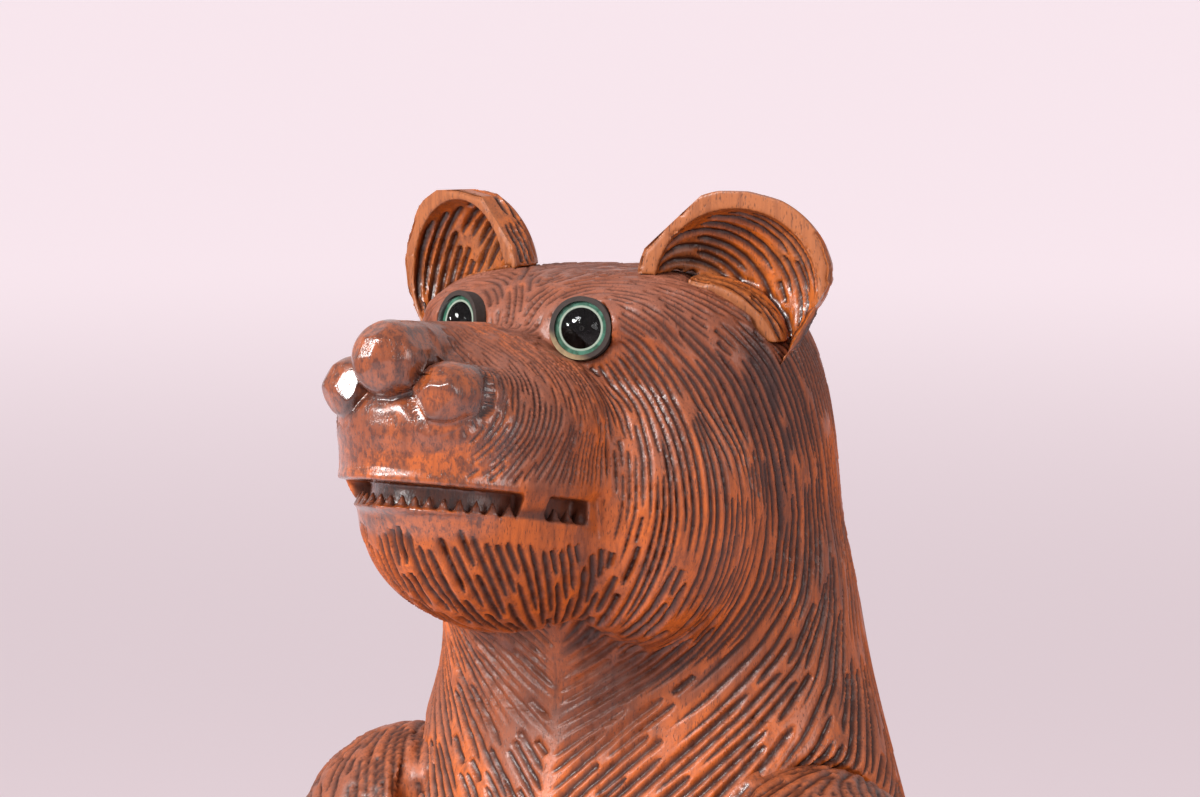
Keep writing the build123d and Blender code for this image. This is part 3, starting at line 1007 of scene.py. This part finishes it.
def make_ear(side_name, side, number):
    """One ear, with its edge shaved flat, its bowl gouged and its finish stored."""
    centre, outward, facing = ear_frame(side)

    def local(place):
        away_from = place - centre
        return away_from.dot(outward) / MM, away_from.dot(facing) / MM, away_from.z / MM

    def way_at(place):
        across, deep, up = local(place)
        dx, dz = across - EAR_FOOT[0], up - EAR_FOOT[1]
        inside_bowl = deep > -1.5 or math.hypot(across, up) < 25.5 and deep > -15.8
        way = outward * dz - Vector((0, 0, dx)) if inside_bowl else outward * dx + Vector((0, 0, dz))
        return way.normalized()

    def bare_at(place):
        across, deep, up = local(place)
        if deep > -1.2:
            return True
        return up > 19 and deep > -5

    ear = merged_copy(f"{side_name}_ear", f"bear_{side_name}_ear")
    remesh(ear, EAR_VOXEL)
    relax(ear, 3)
    points = points_of(ear)
    for across, high, reach in EAR_FLATS[side_name]:
        flat = np.array(outward * across + Vector((0, 0, high)))
        over = np.clip((points - np.array(centre)) @ flat - reach * MM, 0, None)
        points -= over[:, None] * flat
    set_points(ear, points)
    cuts = Carving(
        ear, always(EAR_PITCH), bare_at, way_at, always(EAR_LENGTHS), always(EAR_BOLDNESS),
        seed=number)
    cuts.lay()
    cut_depth, ridge_tone = carve(ear, cuts)
    deep = (points - np.array(centre)) @ np.array(facing) / MM
    rim = step(deep, -1.0, -0.4)
    patch = blotches(points, 60.0, 6)
    store(ear, "cut", cut_depth * (1 - rim))
    store(ear, "glow", np.clip((0.85 + 0.5 * patch + 0.2 * ridge_tone) * (1 - 0.8 * rim), 0, 1.3))
    store(ear, "stain_and_shade", np.zeros(len(points)))
    store(ear, "polish", np.clip(0.45 - 0.4 * rim + 0.2 * patch, 0, 1))
    return ear


ears = [make_ear("left", 1, 31), make_ear("right", -1, 32)]

# %% [markdown]
# ## Cutting the fine skins into sections
# A skin of this fineness has more triangles than one mesh should hold, so each is
# sliced level, and each cut is filled, so that the sections' flat ends lie together.

# %% Sections
MOST_TRIANGLES = 180000


def sections(piece, name):
    """Slices a piece level into sections with about equal triangle counts."""
    count = len(piece.data.polygons) * 2
    parts = math.ceil(count / MOST_TRIANGLES)
    heights = np.sort(points_of(piece)[:, 2])
    cuts_at = [heights[len(heights) * i // parts] for i in range(1, parts)]
    made = []
    for i in range(parts):
        part = piece.copy()
        part.data = piece.data.copy()
        part.name = f"{name}_{i + 1}"
        bpy.context.scene.collection.objects.link(part)
        if i > 0:
            trim(part, cuts_at[i - 1], keep_above=True)
        if i < parts - 1:
            trim(part, cuts_at[i], keep_above=False)
        made.append(part)
    bpy.data.objects.remove(piece)
    print(name, "in", parts, "sections")
    return made


trim(head, COLLAR_Z, keep_above=True)
trim(trunk, COLLAR_Z, keep_above=False)
head_parts = sections(head, "bear_head")
trunk_parts = sections(trunk, "bear_trunk")
for piece in head_parts + trunk_parts:
    smooth_shaded(piece)
    set_material(piece, bear_wood)
    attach(piece, "root")
    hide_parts("body")
for piece, node in zip(arms, ("left_arm", "right_arm")):
    smooth_shaded(piece)
    set_material(piece, bear_wood)
    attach(piece, "root")
    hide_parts(node)
for piece, node in zip(ears, ("left_ear", "right_ear")):
    smooth_shaded(piece, 50)
    set_material(piece, ear_wood)
    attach(piece, "root")
    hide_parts(node)

# %% [markdown]
# ## Eyes
# A carver's glass eye is a clear dome with its colours painted on the flat back: a black
# pupil and a green ring, with a thin pale ring of painted highlight between them. It is
# bedded in putty, which has dried beige; most of the putty is painted near black as the
# shade in the gap round the eye.
# These solids are right as they are, so they only get their materials. The glass is made
# see-through rather than refracting, which keeps the paint behind it bright.


# %% Eye materials
EYE_AXIS = (0.2895, -0.9470, 0.1392)
HIGHLIGHT_RING_RADIUS = 6.75 * MM


def folded_place(tree):
    """Object coordinates with the right side folded onto the left, so both eyes match."""
    folded = add_node(
        tree, "VectorMath", {0: object_place(tree)}, operation="ABSOLUTE").outputs[0]
    flipped = add_node(tree, "VectorMath", {0: folded, 1: (1, -1, 1)}, operation="MULTIPLY")
    centre = tuple(head_place(*EYE))
    return add_node(tree, "VectorMath", {0: flipped.outputs[0], 1: centre}, operation="SUBTRACT")


def painted_green():
    """Enamel brushed on the back of the glass: mottled green, with a thin pale ring of painted highlight
    inside.
    """
    material, tree, shader = new_material("green enamel", Roughness=0.3, Coat_Weight=0.6)
    from_eye = {0: folded_place(tree).outputs[0], 1: EYE_AXIS}
    spoke = add_node(tree, "VectorMath", from_eye, operation="CROSS_PRODUCT").outputs[0]
    radius = add_node(tree, "VectorMath", {0: spoke}, operation="LENGTH").outputs["Value"]
    mottle = ramped(tree, cloud(tree, object_place(tree), 420.0, Detail=4.0), 0.35, 0.65)
    shade = mixed(tree, mottle, colour("#17573d"), colour("#4f8f76"))
    # painted highlight: a thin pale ring at the pupil's edge
    line = ramped(tree, radius, HIGHLIGHT_RING_RADIUS, HIGHLIGHT_RING_RADIUS + 0.35 * MM)
    tree.links.new(mixed(tree, line, colour("#b9c8b4"), shade), shader.inputs["Base Color"])
    return material


def noise_painted(name, scale, low, high, detail=2.0, bump=0.0, **sockets):
    """A material whose colour wanders between two, with relief from the same noise."""
    material, tree, shader = new_material(name, **sockets)
    noise_value = cloud(tree, object_place(tree), scale, Detail=detail)
    shade = mixed(tree, noise_value, colour(low), colour(high))
    tree.links.new(shade, shader.inputs["Base Color"])
    if bump:
        bumped(tree, shader, noise_value, bump)
    return material


def clear_glass():
    """Blown glass: clear and shiny, with faint smears."""
    material, tree, shader = new_material("clear glass", IOR=1.52, Alpha=0.30)
    smear = cloud(tree, object_place(tree), 90.0)
    tree.links.new(ramped(tree, smear, 0.35, 0.75, 0.02, 0.06), shader.inputs["Roughness"])
    shader.inputs["Base Color"].default_value = colour("#000000")
    return material


def dried_putty():
    """Crumbly matt putty, beige on the side of the nose; elsewhere painted nearly black as the shade in
    the gap round the eye.
    """
    material, tree, shader = new_material("dried putty", Roughness=0.8)
    crumb = cloud(tree, object_place(tree), 700.0, Detail=5.0)
    from_eye = {0: folded_place(tree).outputs[0], 1: (-0.55, 0.0, -0.83)}
    toward_nose = add_node(tree, "VectorMath", from_eye, operation="DOT_PRODUCT").outputs["Value"]
    fresh = ramped(tree, toward_nose, 4.5 * MM, 8.5 * MM)
    # painted shade: the near black putty stands in for the dark gap round the eye
    stained = mixed(tree, crumb, colour("#120a07"), colour("#2b1a11"))
    pale = mixed(tree, crumb, colour("#5b4630"), colour("#9a8460"))
    tree.links.new(mixed(tree, fresh, stained, pale), shader.inputs["Base Color"])
    bumped(tree, shader, crumb, 0.2 * MM)
    return material


def drawn_steel(name, code):
    """Drawn metal: bright, with fine scratches along its length."""
    material, tree, shader = new_material(name, Metallic=1.0)
    scratch = cloud(tree, wood_coordinates(tree, 0.3 * MM, 6 * MM))
    tree.links.new(ramped(tree, scratch, 0.3, 0.7, 0.28, 0.45), shader.inputs["Roughness"])
    shader.inputs["Base Color"].default_value = colour(code)
    return material


def plain_dowel():
    """Turned beech: pale and matt, with straight grain."""
    material, tree, shader = new_material("turned beech", Roughness=0.6)
    grain = cloud(tree, wood_coordinates(tree, 1.2 * MM, 20 * MM))
    shade = mixed(tree, grain, colour("#c69c6d"), colour("#a47a4c"))
    tree.links.new(shade, shader.inputs["Base Color"])
    return material


# black enamel is smooth and deep, with the slightest haze; pressed felt is fuzzy and matt
black = noise_painted("black enamel", 300.0, "#050505", "#0d0c0e", Roughness=0.12, Coat_Weight=1.0)
felt = noise_painted(
    "pressed wool felt", 900.0, "#16301d", "#2f5238", detail=6.0, bump=0.3 * MM,
    Roughness=0.95, Sheen_Weight=0.4)
green, glass, putty, beech = painted_green(), clear_glass(), dried_putty(), plain_dowel()
wire = drawn_steel("drawn iron wire", "#8c8883")
screw = drawn_steel("zinc-plated steel", "#b5b4ae")
finishes = {"arm_dowels": beech, "plinth_screws": screw, "felt_pad": felt}
for side_name in ("left", "right"):
    for part, material in zip(
            ("iris", "pupil", "lens", "putty", "wire"), (green, black, glass, putty, wire)):
        finishes[f"{side_name}_eye_{part}"] = material
for node, material in finishes.items():
    set_material(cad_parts[node], material)
print("materials:", [m.name for m in (green, black, glass, putty, wire, beech, screw, felt)])

# %% [markdown]
# ## Plinth
# The plinth is a turned disc of the same wood, stained darker. Its CAD shape is right, and
# it gets the wood without any cuts.


# %% Plinth
PLINTH_GRAIN = (12.0, 320.0, 320.0)  # noise cells per metre along and across the grain


def turned_wood():
    """Dark turned hardwood: long soft grain from side to side under a thin coat of lacquer."""
    material, tree, shader = new_material("dark turned hardwood", Coat_Weight=0.3, Coat_Roughness=0.2)
    inputs = {"Vector": object_place(tree), "Scale": PLINTH_GRAIN}
    grain = cloud(tree, add_node(tree, "Mapping", inputs).outputs["Vector"], Detail=4.0)
    shade = mixed(tree, ramped(tree, grain, 0.3, 0.7), colour("#6b3a26"), colour("#3f2117"))
    tree.links.new(shade, shader.inputs["Base Color"])
    tree.links.new(ramped(tree, grain, 0.3, 0.7, 0.34, 0.48), shader.inputs["Roughness"])
    bumped(tree, shader, grain, 0.1 * MM, 0.4)
    return material


set_material(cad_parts["plinth"], turned_wood())
print("plinth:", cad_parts["plinth"].data.materials[0].name)

# %% [markdown]
# ## Studio
# A pale pink sheet runs under and behind the figure. A soft light and a smaller, weaker one
# stand to the camera's left, a broad weak one to its right, and the room gives the rest.

# %% Floor and lights
FLOOR_SIZE = 300.0
bpy.ops.mesh.primitive_plane_add(size=FLOOR_SIZE)
floor = bpy.context.object
floor.name = "floor"
# matt paper, with a painted glow and a paler colour that both grow with distance, so that it has no
# horizon
paper, tree, shader = new_material("pale paper", Roughness=0.9)
shader.inputs["Emission Strength"].default_value = 1.0
spread = add_node(tree, "VectorMath", {0: object_place(tree)}, operation="LENGTH")
painted_glow_share = ramped(tree, spread.outputs["Value"], 0.5, 9.0)
tree.links.new(mixed(tree, painted_glow_share, colour("#e2d6da"), colour("#f1e8ec")), shader.inputs["Base Color"])
tree.links.new(mixed(tree, painted_glow_share, colour("#544a4e"), colour("#a1959a")), shader.inputs["Emission Color"])
set_material(floor, paper)

world = bpy.data.worlds.new("room")
bpy.context.scene.world = world
world.use_nodes = True
world.node_tree.nodes["Background"].inputs["Color"].default_value = colour("#f4ebee")
world.node_tree.nodes["Background"].inputs["Strength"].default_value = 0.72


def soft_light(name, azimuth, height, distance, size, power):
    """A square light that faces the head. Azimuth in degrees, lengths in metres, power in W."""
    turn = math.radians(azimuth)
    place = AIM + Vector((math.sin(turn), -math.cos(turn), 0)) * distance
    place.z = height
    bpy.ops.object.light_add(type="AREA", location=place)
    made = bpy.context.object
    made.name = name
    made.data.size = size
    made.data.energy = power
    made.rotation_euler = (AIM - place).to_track_quat("-Z", "Y").to_euler()
    print("light:", name)


soft_light("key", -8, 1.40, 1.4, 0.42, 44)
soft_light("window", -34, 0.96, 1.5, 0.22, 11)
soft_light("fill", 80, 1.0, 1.9, 0.8, 10)
bpy.context.scene.view_settings.view_transform = "Standard"
